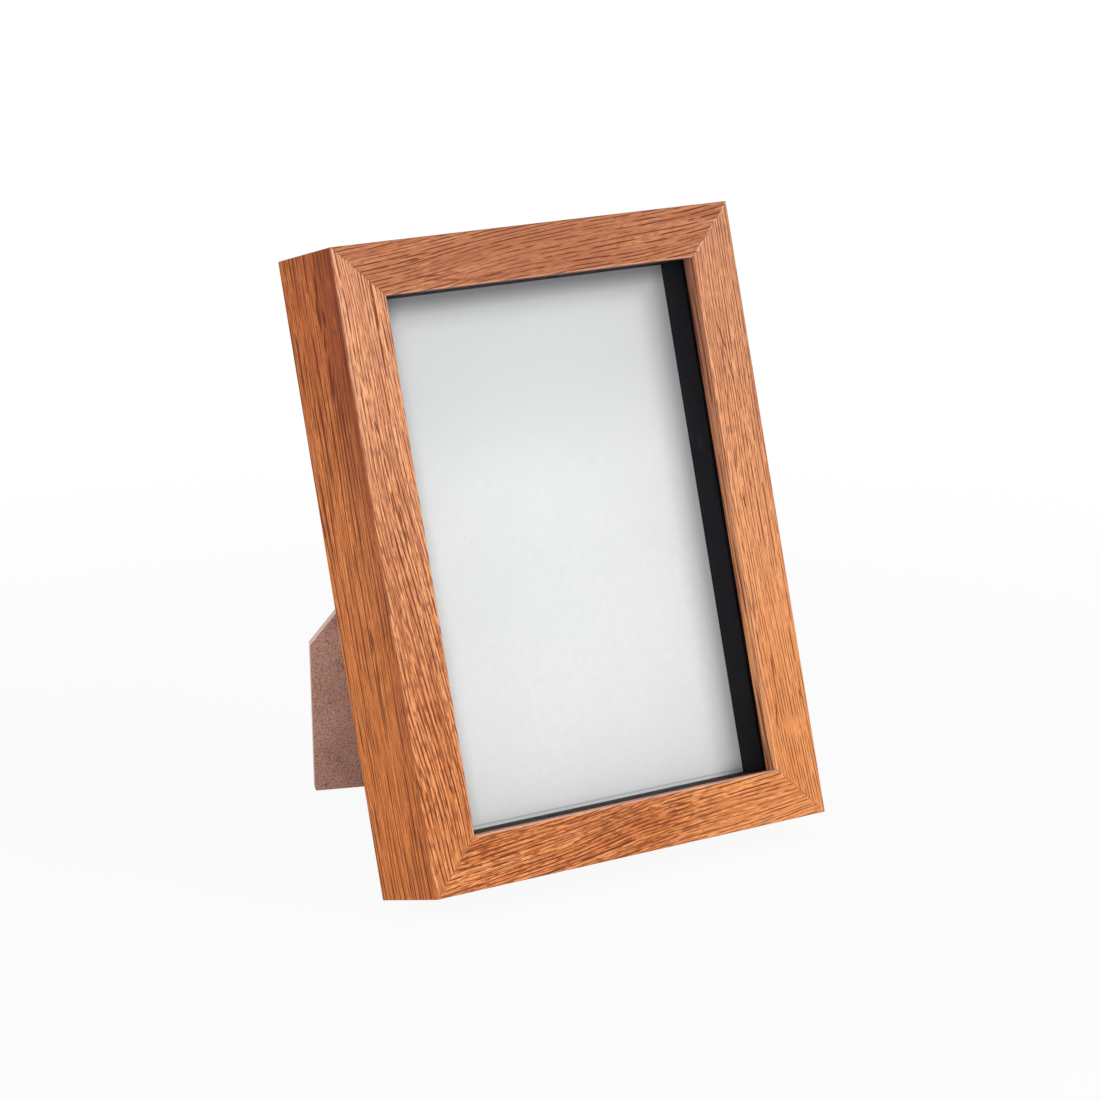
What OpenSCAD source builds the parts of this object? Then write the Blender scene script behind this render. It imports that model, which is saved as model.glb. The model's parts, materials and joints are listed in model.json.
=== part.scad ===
// Shadow box picture frame with a mitred, foil-wrapped moulding, a glazed display space, a board back held
// by turn buttons, keyhole hangers for both ways up, and a folding leg on a diagonal hinge.
// It is drawn leaning back on its open leg. The front faces -Y, the ground is at Z = 0.

/* [Frame] */
// Outside width of the frame
frame_w = 153; // [146:1:180]
// Outside height of the frame
frame_h = 204; // [196:1:240]
// Depth of the frame from front to back
frame_d = 33; // [30:0.5:45]
// Width of the front face of each rail
face_w = 17; // [16:0.5:22]
// How far the lip of a rail stands in front of the glass
lip_overlap = 4.5; // [3:0.5:5]
// Thickness of that lip
lip_t = 5.7; // [4:0.1:8]
// Rounding of the front edges of the moulding
edge_r = 0.7; // [0.3:0.1:1.5]

/* [Contents] */
// Thickness of the glass
glass_t = 2; // [1.5:0.1:3]
// Depth of the display space behind the glass
spacer_d = 11.3; // [6:0.1:12]
// Thickness of the white insert card
card_t = 1; // [0.4:0.1:1.5]
// Thickness of the backing board
backing_t = 3; // [2.5:0.1:4]
// Width of the packing strips behind the card
packer_w = 8; // [5:0.5:12]
// Play around the glass, card, strips and board in the rebate
rebate_play = 0.3; // [0.2:0.05:0.6]

/* [Leg] */
// Thickness of the leg
leg_t = 3; // [2.5:0.1:3.4]
// How far the leg opens before its stop, in degrees
leg_open = 40.5; // [34:0.5:46]
// Turn of the hinge away from level, in degrees
leg_turn = 35; // [30:0.5:40]
// Hinge centre in from the right side of the frame
hinge_in = 47.5; // [43:0.5:52]
// Hinge centre above the frame's middle
hinge_up = 32.6; // [26:0.1:38]
// Width of the leg at the hinge
leg_head_w = 63; // [58:1:68]
// Width of the leg at the shoulders of its foot
leg_foot_w = 59.6; // [54:0.2:64]
// Foot corner to the right of the leg's centre line
foot_side = 7.3; // [4:0.1:12]
// Height of the foot corner over the frame's bottom edge when the leg is folded flat
foot_lift = 0.4; // [0:0.1:3]
// Rise of the short foot edge, in degrees
foot_rake = 1.7; // [0:0.1:4]
// Outward lean of the long foot edge, in degrees
side_rake = 3.6; // [0:0.1:6]
// Rounding of the corners of the leg
leg_corner_r = 0.9; // [0.4:0.1:3]

/* [Leg hinge] */
// Width of the hinge along its pin
hinge_w = 36; // [30:1:42]
// Width of the leg's knuckle in the middle
mid_knuckle_w = 14; // [10:0.5:18]
// Thickness of the hinge sheet
leaf_t = 0.9; // [0.7:0.05:1.1]
// Length of the leaf on the board, from the pin
board_leaf = 16; // [15:0.5:20]
// Length of the leaf on the leg, from the pin
leg_leaf = 21; // [19:0.5:26]
// Length of the stop tail, from the pin
tail_len = 6.5; // [5:0.1:7]
// Radius of a rivet's shank
rivet_r = 1.3; // [1:0.05:1.6]
// Radius of a rivet's domed head
rivet_head_r = 2.5; // [2.2:0.1:3]

/* [Hangers and turn buttons] */
// Length of a keyhole hanger plate
hanger_w = 36; // [32:1:42]
// Height of a keyhole hanger plate
hanger_h = 10; // [9:0.5:11]
// Thickness of a hanger plate
hanger_t = 1; // [0.8:0.1:1.5]
// Radius of the round hole that takes the wall screw's head
keyhole_r = 2.75; // [2.4:0.05:3]
// Radius of the slot that the wall screw's shank slides into
keyslot_r = 1.5; // [1:0.1:1.8]
// Depth of the pocket behind a keyhole
pocket_d = 6; // [5:0.5:8]
// Length of a turn button from its pivot to its tip
turn_len = 14.5; // [12:0.5:16]
// Thickness of a turn button
turn_t = 1; // [0.8:0.1:1.5]
// Radius of a turn button round its pivot
turn_root_r = 4.2; // [3.6:0.1:5]
// Radius of a turn button's tip
turn_tip_r = 3.2; // [2.5:0.1:3.6]
// Length of the wood screws
screw_len = 12; // [8:0.5:16]

/* [Hidden] */
$fn = 48;

// Overrun of every cut
over = 1;
// Gap between pieces that move past each other
move_gap = 0.3;
// Running fit of the leg's knuckle on the pin
pin_fit = 0.05;
// Seat of nails, rivets and screws in their holes
seat_fit = 0.03;

// The moulding and its rebate
wall_w = face_w - lip_overlap;
rebate_w = frame_w - 2 * wall_w;
rebate_h = frame_h - 2 * wall_w;
side_x = (frame_w - wall_w) / 2;
top_z = frame_h - wall_w / 2;

// Front faces of the layers in the rebate
spacer_y = lip_t + glass_t;
card_y = spacer_y + spacer_d;
packer_y = card_y + card_t;
backing_y = frame_d - backing_t;
packer_d = backing_y - packer_y;
spacer_w = lip_overlap - rebate_play;

// V-shaped mitre nails, driven from the back
nail_t = 0.8;
nail_leg = 4.5;
nail_deep = 10;
nail_sunk = 0.3;
nail_splay = 32;
nail_place_shares = [0.36, 0.75];

// The hinge: the pin lies clear of the board by the knuckle and the moving gap
knuckle_r = (leg_t + leaf_t) / 2;
pin_r = knuckle_r - leaf_t;
pin_head_r = pin_r + leaf_t / 2;
pin_head_t = leaf_t;
pin_y = frame_d + move_gap + knuckle_r;
hinge_x = frame_w / 2 - hinge_in;
hinge_z = frame_h / 2 + hinge_up;
knuckle_clear = knuckle_r + move_gap;
leaf_low = -knuckle_clear;
board_top = leg_t - knuckle_r;
leg_start = knuckle_clear + seat_fit;
tail_gap = pin_fit * 2;
rivet_dome = 1;
clinch_spread = 0.5;
rivet_clinch_r = rivet_r + clinch_spread;
rivet_clinch_t = 0.6;
rivet_side_share = 0.3;
board_row_share = 0.7;
leg_row_shares = [0.36, 0.78];
rivet_side = hinge_w * rivet_side_share;
board_rivets = [for (side = [-1:1]) [side * rivet_side, -board_leaf * board_row_share]];
leg_rivets = [
    [-rivet_side, leg_leaf * leg_row_shares[0]],
    [rivet_side, leg_leaf * leg_row_shares[0]],
    [0, leg_leaf * leg_row_shares[1]]
];
leaf_neck_share = 0.52;
leaf_tip_share = 0.4;
tail_w_share = 0.66;
leaf_corner = 2.5;

// Outline of the leg: across its width, and down from the pin
foot_down = (hinge_z - foot_side * sin(leg_turn) - foot_lift) / cos(leg_turn);
long_edge = (leg_foot_w / 2 + foot_side) / -cos(90 + side_rake + leg_turn);
short_edge = (leg_foot_w / 2 - foot_side) / cos(foot_rake + leg_turn);
leg_outline = [
    [-leg_head_w / 2, leg_start],
    [leg_head_w / 2, leg_start],
    [leg_foot_w / 2, foot_down - short_edge * sin(foot_rake + leg_turn)],
    [foot_side, foot_down],
    [-leg_foot_w / 2, foot_down - long_edge * sin(90 + side_rake + leg_turn)]
];

// Rounds one corner of an outline that runs anticlockwise
arc_steps = 6;
function unit(v) = v / norm(v);
function corner_arc(before, at, after, r) =
    let (
        back = unit(before - at),
        ahead = unit(after - at),
        half = acos(back * ahead) / 2,
        centre = at + unit(back + ahead) * r / sin(half),
        out = atan2(at[1] - centre[1], at[0] - centre[0])
    )
    [for (i = [0:arc_steps])
        let (a = out + (2 * i / arc_steps - 1) * (90 - half))
        centre + r * [cos(a), sin(a)]];
leg_points = [for (i = [0:4])
    each corner_arc(leg_outline[(i + 4) % 5], leg_outline[i], leg_outline[(i + 1) % 5], leg_corner_r)];

// Place in the upright frame of a point of the open leg
function opened(p, z) = [
    p[0],
    p[1] * cos(leg_open) - z * sin(leg_open),
    p[1] * sin(leg_open) + z * cos(leg_open)
];
function on_back(q) = [
    hinge_x + q[0] * cos(leg_turn) - q[1] * sin(leg_turn),
    pin_y + q[2],
    hinge_z - q[0] * sin(leg_turn) - q[1] * cos(leg_turn)
];
leg_rims = [for (p = leg_points) for (z = [-knuckle_r, board_top]) on_back(opened(p, z))];

// The frame leans back until the leg's foot meets the ground
lean = min([for (c = leg_rims) atan2(c[2], c[1] - frame_d)]);
leg_reach = max([for (c = leg_rims) c[1] * cos(lean) + c[2] * sin(lean)]);
front_reach = edge_r * (cos(lean) + sin(lean) - 1);
middle_y = (leg_reach + front_reach) / 2;
ground_lift = frame_d * sin(lean);

// Hangers: the keyhole's entry lies below the middle, its slot above
entry_drop = 1.2;
slot_rise = 1.8;
screw_head_play = 0.35;
pocket_r = keyhole_r + screw_head_play;
hanger_hole_share = 0.37;
hanger_hole_x = hanger_w * hanger_hole_share;
plate_corner_r = 2;
small_shank_r = 0.9;
small_head_r = 2.1;
small_head_t = 1.2;
pilot_spare = 1;
point_share = 3;
recess_share = 0.62;
head_rim_share = 0.96;

// Turn buttons and their screws
turn_shank_r = 1.4;
turn_head_r = 3;
turn_head_t = 1.8;
turn_play = 0.08;
turn_lip_w = 4;
turn_lip_len = 1.8;
turn_lip_rise = 32;
turn_y = frame_d + move_gap;
// Each place: across, up, and the turn that points the button over the board
top_turn_x = frame_w / 4;
side_turn_z = frame_h / 4;
turn_places = [
    [-top_turn_x, top_z, 180],
    [top_turn_x, top_z, 180],
    [side_x, frame_h - side_turn_z, -90],
    [side_x, side_turn_z, -90],
    [-side_x, frame_h - side_turn_z, 90],
    [top_turn_x, wall_w / 2, 0]
];

// Leans the upright frame back onto the ground
module standing() {
    translate([0, -middle_y, ground_lift])
        rotate([-lean, 0, 0])
            children();
}

// Draws on the back face: across and up, extruded towards the front
module from_back(y, depth) {
    translate([0, y, 0])
        rotate([90, 0, 0])
            linear_extrude(depth)
                children();
}

// Cuts one square corner round, for the outline of the moulding
module corner_cut(r) {
    difference() {
        translate([-over, -over])
            square(r + over);
        translate([r, r])
            circle(r);
    }
}

// Cross-section of the moulding: front to back, and inwards
module rail_section() {
    difference() {
        union() {
            square([frame_d, wall_w]);
            square([lip_t, face_w]);
        }
        corner_cut(edge_r);
        translate([0, face_w])
            mirror([0, 1])
                corner_cut(edge_r);
    }
}

// Plan of one mitre nail, pointing away from the outer corner
module nail_plan(play) {
    for (side = [-1, 1])
        rotate(side * nail_splay)
            translate([-nail_t / 2 - play, -nail_t / 2 - play])
                square([nail_leg + nail_t + 2 * play, nail_t + 2 * play]);
}

// Both nails of a corner, seen from its outer point
module corner_nails(play) {
    for (share = nail_place_shares)
        translate([share * wall_w, 0])
            nail_plan(play);
}

// One mitred rail, lying along X with its outer edge at Z = 0
module rail(length) {
    difference() {
        intersection() {
            translate([-length / 2 - over, 0, 0])
                rotate([90, 0, 90])
                    linear_extrude(length + 2 * over)
                        rail_section();
            from_back(frame_d + over, frame_d + 2 * over)
                polygon([
                    [-length / 2 - over, -over],
                    [length / 2 + over, -over],
                    [length / 2 - face_w - over, face_w + over],
                    [-length / 2 + face_w + over, face_w + over]
                ]);
        }
        from_back(frame_d + over, nail_deep + nail_sunk + over) {
            translate([-length / 2, 0])
                rotate(45)
                    corner_nails(seat_fit);
            translate([length / 2, 0])
                rotate(135)
                    corner_nails(seat_fit);
        }
    }
}

// Pilot hole of a wood screw, from the back face
module pilot(shank_r) {
    translate([0, frame_d + over, 0])
        rotate([90, 0, 0])
            cylinder(r = shank_r + seat_fit, h = screw_len + pilot_spare + over);
}

// Pocket and pilot holes that a hanger needs in its rail
module hanger_room() {
    from_back(frame_d + over, pocket_d + over) {
        translate([0, -entry_drop])
            circle(pocket_r);
        translate([0, slot_rise])
            circle(pocket_r);
        translate([-pocket_r, -entry_drop])
            square([2 * pocket_r, slot_rise + entry_drop]);
    }
    for (side = [-1, 1])
        translate([side * hanger_hole_x, 0, 0])
            pilot(small_shank_r);
}

// Pilot holes of the turn buttons; the ones that miss a rail do nothing to it
module turn_pilots() {
    for (place = turn_places)
        translate([place[0], 0, place[1]])
            pilot(turn_shank_r);
}

module rail_bottom() {
    color("#D2825A")
        standing()
            difference() {
                rail(frame_w);
                turn_pilots();
            }
}

module rail_top() {
    color("#D2825A")
        standing()
            difference() {
                translate([0, 0, frame_h])
                    rotate([0, 180, 0])
                        rail(frame_w);
                turn_pilots();
                translate([0, 0, top_z])
                    hanger_room();
            }
}

module rail_left() {
    color("#C87850")
        standing()
            difference() {
                translate([-frame_w / 2, 0, frame_h / 2])
                    rotate([0, 90, 0])
                        rail(frame_h);
                turn_pilots();
                translate([-side_x, 0, frame_h / 2])
                    rotate([0, -90, 0])
                        hanger_room();
            }
}

module rail_right() {
    color("#D2825A")
        standing()
            difference() {
                translate([frame_w / 2, 0, frame_h / 2])
                    rotate([0, -90, 0])
                        rail(frame_h);
                turn_pilots();
            }
}

module mitre_v_nails() {
    color("#8C8C8C")
        standing()
            from_back(frame_d - nail_sunk, nail_deep)
                for (side = [-1, 1])
                    for (end = [0, 1])
                        translate([side * frame_w / 2, end * frame_h])
                            mirror([side > 0 ? 1 : 0, 0])
                                mirror([0, end])
                                    rotate(45)
                                        corner_nails(0);
}

// A flat sheet that fills the rebate
module rebate_sheet(y, thick) {
    translate([rebate_play - rebate_w / 2, y, wall_w + rebate_play])
        cube([rebate_w - 2 * rebate_play, thick, rebate_h - 2 * rebate_play]);
}

// Level strip of a ring in the rebate, the full width; end is 0 at the bottom and 1 at the top
module level_strip(y, deep, thick, end) {
    run = rebate_w - 2 * rebate_play;
    low = wall_w + rebate_play;
    translate([-run / 2, y, low + end * (rebate_h - 2 * rebate_play - thick)])
        cube([run, deep, thick]);
}

// Upright strip of the ring, between the level ones; side is -1 on the left and 1 on the right
module upright_strip(y, deep, thick, side) {
    run = rebate_h - 2 * rebate_play - 2 * thick;
    edge = rebate_w / 2 - rebate_play;
    translate([side < 0 ? -edge : edge - thick, y, wall_w + rebate_play + thick])
        cube([thick, deep, run]);
}

module glass_pane() {
    color("#DCE8E4", 0.35)
        standing()
            rebate_sheet(lip_t, glass_t);
}

module insert_card() {
    color("#E6E6E8")
        standing()
            rebate_sheet(card_y, card_t);
}

module spacer_top() {
    color("#121216")
        standing()
            level_strip(spacer_y, spacer_d, spacer_w, 1);
}

module spacer_bottom() {
    color("#121216")
        standing()
            level_strip(spacer_y, spacer_d, spacer_w, 0);
}

module spacer_left() {
    color("#121216")
        standing()
            upright_strip(spacer_y, spacer_d, spacer_w, -1);
}

module spacer_right() {
    color("#121216")
        standing()
            upright_strip(spacer_y, spacer_d, spacer_w, 1);
}

module packer_top() {
    color("#B4906E")
        standing()
            level_strip(packer_y, packer_d, packer_w, 1);
}

module packer_bottom() {
    color("#B4906E")
        standing()
            level_strip(packer_y, packer_d, packer_w, 0);
}

module packer_left() {
    color("#B4906E")
        standing()
            upright_strip(packer_y, packer_d, packer_w, -1);
}

module packer_right() {
    color("#B4906E")
        standing()
            upright_strip(packer_y, packer_d, packer_w, 1);
}

// Puts the hinge's own axes on the back: X along the pin, Y down the folded leg, Z outwards
module at_hinge() {
    translate([hinge_x, pin_y, hinge_z])
        rotate([-90, leg_turn, 0])
            children();
}

// The same for the pieces of the open leg, drawn as if it were folded flat
module on_leg() {
    at_hinge()
        rotate([leg_open, 0, 0])
            children();
}

module rivet_holes(places) {
    for (place = places)
        translate([place[0], place[1], -frame_d])
            cylinder(r = rivet_r + seat_fit, h = 2 * frame_d);
}

module backing_board() {
    color("#96705C")
        standing()
            difference() {
                rebate_sheet(backing_y, backing_t);
                at_hinge()
                    rivet_holes(board_rivets);
            }
}

// A stretch of round bar along the pin
module along_pin(from, to, r) {
    translate([from, 0, 0])
        rotate([0, 90, 0])
            cylinder(r = r, h = to - from);
}

module hinge_leaf_board() {
    color("#A8A8AC")
        standing()
            at_hinge()
                difference() {
                    union() {
                        translate([-hinge_w / 2, -board_leaf, leaf_low])
                            cube([hinge_w, board_leaf, leaf_t]);
                        along_pin(-hinge_w / 2, hinge_w / 2, knuckle_r);
                    }
                    translate([-mid_knuckle_w / 2 - move_gap, -knuckle_clear, leaf_low - over])
                        cube([mid_knuckle_w + 2 * move_gap, 2 * knuckle_clear, 2 * knuckle_clear + over]);
                    along_pin(-hinge_w / 2 - over, hinge_w / 2 + over, pin_r + seat_fit);
                    rivet_holes(board_rivets);
                    // Both far corners of the sheet are cut off
                    for (side = [-1, 1])
                        translate([side * hinge_w / 2, -board_leaf, leaf_low - over])
                            rotate(45)
                                translate([-leaf_corner, -leaf_corner, 0])
                                    cube([2 * leaf_corner, 2 * leaf_corner, leaf_t + 2 * over]);
                }
}

module hinge_pin() {
    color("#B8B8BC")
        standing()
            at_hinge() {
                along_pin(-hinge_w / 2 - seat_fit, hinge_w / 2 + seat_fit, pin_r);
                along_pin(-hinge_w / 2 - seat_fit - pin_head_t, -hinge_w / 2 - seat_fit, pin_head_r);
                along_pin(hinge_w / 2 + seat_fit, hinge_w / 2 + seat_fit + pin_head_t, pin_head_r);
            }
}

// Domed rivet with a clinched tail; its head's underside is at Z = 0
module rivet(grip) {
    dome_r = (rivet_head_r * rivet_head_r + rivet_dome * rivet_dome) / (2 * rivet_dome);
    intersection() {
        translate([0, 0, rivet_dome - dome_r])
            sphere(dome_r);
        cylinder(r = rivet_head_r + over, h = rivet_dome + over);
    }
    translate([0, 0, -grip - rivet_clinch_t / 2])
        cylinder(r = rivet_r, h = grip + rivet_clinch_t / 2 + rivet_dome / 2);
    translate([0, 0, -grip - rivet_clinch_t])
        cylinder(r = rivet_clinch_r, h = rivet_clinch_t);
}

module hinge_rivets_board() {
    color("#B4B4B8")
        standing()
            at_hinge()
                for (place = board_rivets)
                    translate([place[0], place[1], leaf_low + leaf_t])
                        rivet(leaf_t + backing_t);
}

module leg_board() {
    color("#96705C")
        standing()
            on_leg()
                difference() {
                    translate([0, 0, -knuckle_r])
                        linear_extrude(leg_t)
                            polygon(leg_points);
                    rivet_holes(leg_rivets);
                    for (place = leg_rivets)
                        translate([place[0], place[1], -knuckle_r - over])
                            cylinder(r = rivet_clinch_r + move_gap, h = rivet_clinch_t + seat_fit + over);
                }
}

// Plan of the leaf on the leg: full width clear of the board's knuckles, then tapering
module leg_leaf_plan() {
    neck = leg_leaf * leaf_neck_share;
    tip = hinge_w / 2 * leaf_tip_share;
    translate([-mid_knuckle_w / 2, 0])
        square([mid_knuckle_w, neck]);
    polygon([
        [-hinge_w / 2, knuckle_clear],
        [hinge_w / 2, knuckle_clear],
        [hinge_w / 2, neck],
        [tip, leg_leaf],
        [-tip, leg_leaf],
        [-hinge_w / 2, neck]
    ]);
}

module hinge_leaf_leg() {
    tail_w = mid_knuckle_w * tail_w_share;
    color("#A8A8AC")
        standing()
            on_leg()
                difference() {
                    union() {
                        translate([0, 0, board_top])
                            linear_extrude(leaf_t)
                                leg_leaf_plan();
                        along_pin(-mid_knuckle_w / 2, mid_knuckle_w / 2, knuckle_r);
                        // The tail meets the leaf on the board when the leg is fully open
                        rotate([-leg_open, 0, 0])
                            translate([-tail_w / 2, -tail_len, leaf_low + leaf_t + tail_gap])
                                cube([tail_w, tail_len - pin_r - leaf_t / 4, leaf_t]);
                    }
                    along_pin(-hinge_w, hinge_w, pin_r + pin_fit);
                    rivet_holes(leg_rivets);
                }
}

module hinge_rivets_leg() {
    color("#B4B4B8")
        standing()
            on_leg()
                for (place = leg_rivets)
                    translate([place[0], place[1], board_top + leaf_t])
                        rivet(leaf_t + leg_t - rivet_clinch_t - seat_fit);
}

// Keyhole hanger plate, drawn across and up round its middle
module hanger_plan() {
    difference() {
        union() {
            square([hanger_w - 2 * plate_corner_r, hanger_h], center = true);
            square([hanger_w, hanger_h - 2 * plate_corner_r], center = true);
            for (x = [-1, 1])
                for (z = [-1, 1])
                    translate([x * (hanger_w / 2 - plate_corner_r), z * (hanger_h / 2 - plate_corner_r)])
                        circle(plate_corner_r);
        }
        translate([0, -entry_drop])
            circle(keyhole_r);
        translate([0, slot_rise])
            circle(keyslot_r);
        translate([-keyslot_r, -entry_drop])
            square([2 * keyslot_r, slot_rise + entry_drop]);
        for (x = [-1, 1])
            translate([x * hanger_hole_x, 0])
                circle(small_shank_r + seat_fit);
    }
}

module hanger_portrait() {
    color("#A8A8AC")
        standing()
            translate([0, 0, top_z])
                from_back(frame_d + hanger_t, hanger_t)
                    hanger_plan();
}

module hanger_landscape() {
    color("#A8A8AC")
        standing()
            translate([-side_x, 0, frame_h / 2])
                rotate([0, -90, 0])
                    from_back(frame_d + hanger_t, hanger_t)
                        hanger_plan();
}

// Pan-head wood screw with a cross recess; its head's underside is at Y = 0 and it is driven towards -Y
module wood_screw(shank_r, head_r, head_t, grip) {
    dome_r = (head_r * head_r + head_t * head_t) / (2 * head_t);
    point = shank_r * point_share;
    recess = head_r * recess_share;
    rotate([-90, 0, 0]) {
        difference() {
            intersection() {
                translate([0, 0, head_t - dome_r])
                    sphere(dome_r);
                cylinder(r = head_r * head_rim_share, h = head_t + over);
            }
            for (turn = [0, 90])
                rotate(turn)
                    translate([-recess, -recess / 4, head_t / 2])
                        cube([2 * recess, recess / 2, head_t]);
        }
        translate([0, 0, -grip + point])
            cylinder(r = shank_r, h = grip - point + head_t / 4);
        translate([0, 0, -grip])
            cylinder(r1 = 0, r2 = shank_r, h = point);
    }
}

module hanger_screws() {
    color("#C0C0C2")
        standing()
            for (side = [-1, 1]) {
                translate([side * hanger_hole_x, frame_d + hanger_t, top_z])
                    wood_screw(small_shank_r, small_head_r, small_head_t, screw_len + hanger_t);
                translate([-side_x, frame_d + hanger_t, frame_h / 2 + side * hanger_hole_x])
                    wood_screw(small_shank_r, small_head_r, small_head_t, screw_len + hanger_t);
            }
}

module turn_button_screws() {
    stack = move_gap + turn_t + turn_play;
    color("#C0C0C2")
        standing()
            for (place = turn_places)
                translate([place[0], frame_d + stack, place[1]])
                    wood_screw(turn_shank_r, turn_head_r, turn_head_t, screw_len + stack);
}

// Plan of a turn button, pivot at the origin and tip up
module turn_plan() {
    reach = turn_len - turn_tip_r;
    slant = asin((turn_root_r - turn_tip_r) / reach);
    across = cos(slant);
    along = sin(slant);
    circle(turn_root_r);
    translate([0, reach])
        circle(turn_tip_r);
    polygon([
        [-turn_root_r * across, turn_root_r * along],
        [turn_root_r * across, turn_root_r * along],
        [turn_tip_r * across, reach + turn_tip_r * along],
        [-turn_tip_r * across, reach + turn_tip_r * along]
    ]);
}

// Turn button in its place: a plate with a finger lip bent up at its tip
module turn_button(place) {
    color("#9A9A9E")
        standing()
            translate([place[0], 0, place[1]])
                rotate([0, place[2], 0])
                    difference() {
                        union() {
                            from_back(turn_y + turn_t, turn_t)
                                turn_plan();
                            translate([-turn_lip_w / 2, turn_y, turn_len - turn_t])
                                rotate([-turn_lip_rise, 0, 0])
                                    cube([turn_lip_w, turn_t, turn_lip_len]);
                        }
                        from_back(turn_y + turn_t + over, turn_t + 2 * over)
                            circle(turn_shank_r + turn_play);
                    }
}

module turn_button_top_left() { turn_button(turn_places[0]); }
module turn_button_top_right() { turn_button(turn_places[1]); }
module turn_button_right_upper() { turn_button(turn_places[2]); }
module turn_button_right_lower() { turn_button(turn_places[3]); }
module turn_button_left() { turn_button(turn_places[4]); }
module turn_button_bottom() { turn_button(turn_places[5]); }

rail_top();
rail_bottom();
rail_left();
rail_right();
mitre_v_nails();
glass_pane();
spacer_top();
spacer_bottom();
spacer_left();
spacer_right();
insert_card();
packer_top();
packer_bottom();
packer_left();
packer_right();
backing_board();
hinge_leaf_board();
hinge_pin();
hinge_rivets_board();
leg_board();
hinge_leaf_leg();
hinge_rivets_leg();
hanger_portrait();
hanger_landscape();
hanger_screws();
turn_button_screws();
turn_button_top_left();
turn_button_top_right();
turn_button_right_upper();
turn_button_right_lower();
turn_button_left();
turn_button_bottom();
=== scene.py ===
import json
import math
import bmesh
import bpy
from mathutils import Matrix, Vector


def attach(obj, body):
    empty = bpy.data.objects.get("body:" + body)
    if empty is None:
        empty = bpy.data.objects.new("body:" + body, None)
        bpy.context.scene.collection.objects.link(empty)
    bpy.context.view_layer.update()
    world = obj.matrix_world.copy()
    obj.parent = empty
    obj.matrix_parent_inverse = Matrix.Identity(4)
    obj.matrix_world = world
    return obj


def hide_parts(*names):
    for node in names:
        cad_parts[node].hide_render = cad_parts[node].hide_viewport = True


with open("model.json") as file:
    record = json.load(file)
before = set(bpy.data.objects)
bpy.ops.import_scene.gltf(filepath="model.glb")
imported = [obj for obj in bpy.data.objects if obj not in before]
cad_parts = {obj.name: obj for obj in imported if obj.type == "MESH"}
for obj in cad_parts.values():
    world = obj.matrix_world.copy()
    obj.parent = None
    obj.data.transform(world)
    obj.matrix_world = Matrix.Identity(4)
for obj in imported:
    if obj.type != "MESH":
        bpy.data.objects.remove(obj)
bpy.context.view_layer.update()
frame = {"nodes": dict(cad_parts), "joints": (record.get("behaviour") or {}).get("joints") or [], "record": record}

nodes = frame["nodes"]
bodyOf = {n: b for b, members in frame["record"]["behaviour"]["bodies"].items() for n in members}
joints = {j["name"]: j for j in frame["joints"]}
print("frame loaded:", len(nodes), "nodes")

# the camera stands low at the front left and looks slightly down
cameraSet = {
    "place": (-0.71065, -1.04234, 0.41825),
    "aim": (0.00957, -0.00824, 0.09495),
    "lens": 129.868,
    "sensor": 36.0,
    "clip": 0.01,
}
lens = bpy.data.cameras.new("viewCamera")
lens.lens = cameraSet["lens"]
lens.sensor_width = cameraSet["sensor"]
lens.clip_start = cameraSet["clip"]
camera = bpy.data.objects.new("viewCamera", lens)
bpy.context.scene.collection.objects.link(camera)
camera.location = cameraSet["place"]
lookWay = Vector(cameraSet["aim"]) - Vector(cameraSet["place"])
camera.rotation_euler = lookWay.to_track_quat("-Z", "Y").to_euler()
bpy.context.scene.camera = camera
print("camera set")

# the leaning frame's own directions and sizes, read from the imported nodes
backWay = Vector(joints["turn_bottom"]["axis"]).normalized()
upWay = Vector((0, -backWay.z, backWay.y))
acrossWay = Vector((1, 0, 0))


def spanOf(names, way):
    reach = [v.co.dot(way) for n in names for v in nodes[n].data.vertices]
    return min(reach), max(reach)


sheetPlay = 0.0003               # play on each side of the sheets in the rebate
railNodes = ["rail_top", "rail_bottom", "rail_left", "rail_right"]
backSpan = spanOf(railNodes, backWay)
upSpan = spanOf(railNodes, upWay)
acrossSpan = spanOf(railNodes, acrossWay)
frameW = acrossSpan[1] - acrossSpan[0]
frameD = backSpan[1] - backSpan[0]
frameH = upSpan[1] - upSpan[0]
topSpan = spanOf(["rail_top"], upWay)
faceW = topSpan[1] - topSpan[0]
lipT = spanOf(["glass_pane"], backWay)[0] - backSpan[0]
boardSpan = spanOf(["backing_board"], acrossWay)
wallW = (frameW - (boardSpan[1] - boardSpan[0])) / 2 - sheetPlay

# from the upright frame, with its foot at the origin, to the leaning one
toLean = Matrix.Translation(backWay * backSpan[0] + upWay * upSpan[0])
toLean = toLean @ Matrix((acrossWay, backWay, upWay)).transposed().to_4x4()


def upright(x, z, degrees=0):
    return Matrix.Translation((x, 0, z)) @ Matrix.Rotation(math.radians(degrees), 4, "Y")


def deselectAll():
    if bpy.context.object and bpy.context.object.mode != "OBJECT":
        bpy.ops.object.mode_set(mode="OBJECT")
    bpy.ops.object.select_all(action="DESELECT")


def takeUp(piece):
    deselectAll()
    piece.select_set(True)
    bpy.context.view_layer.objects.active = piece


def setPlace(piece):
    takeUp(piece)
    bpy.ops.object.transform_apply(location=True, rotation=True, scale=True)


def pickAll(kind):
    bpy.ops.mesh.select_mode(type=kind)
    bpy.ops.mesh.select_all(action="SELECT")


def pickParts(piece, kind, test):
    bpy.ops.mesh.select_mode(type=kind)
    bpy.ops.mesh.select_all(action="DESELECT")
    shape = bmesh.from_edit_mesh(piece.data)
    for part in {"VERT": shape.verts, "EDGE": shape.edges, "FACE": shape.faces}[kind]:
        if test(part):
            part.select_set(True)
    shape.select_flush_mode()
    bmesh.update_edit_mesh(piece.data)


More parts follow.
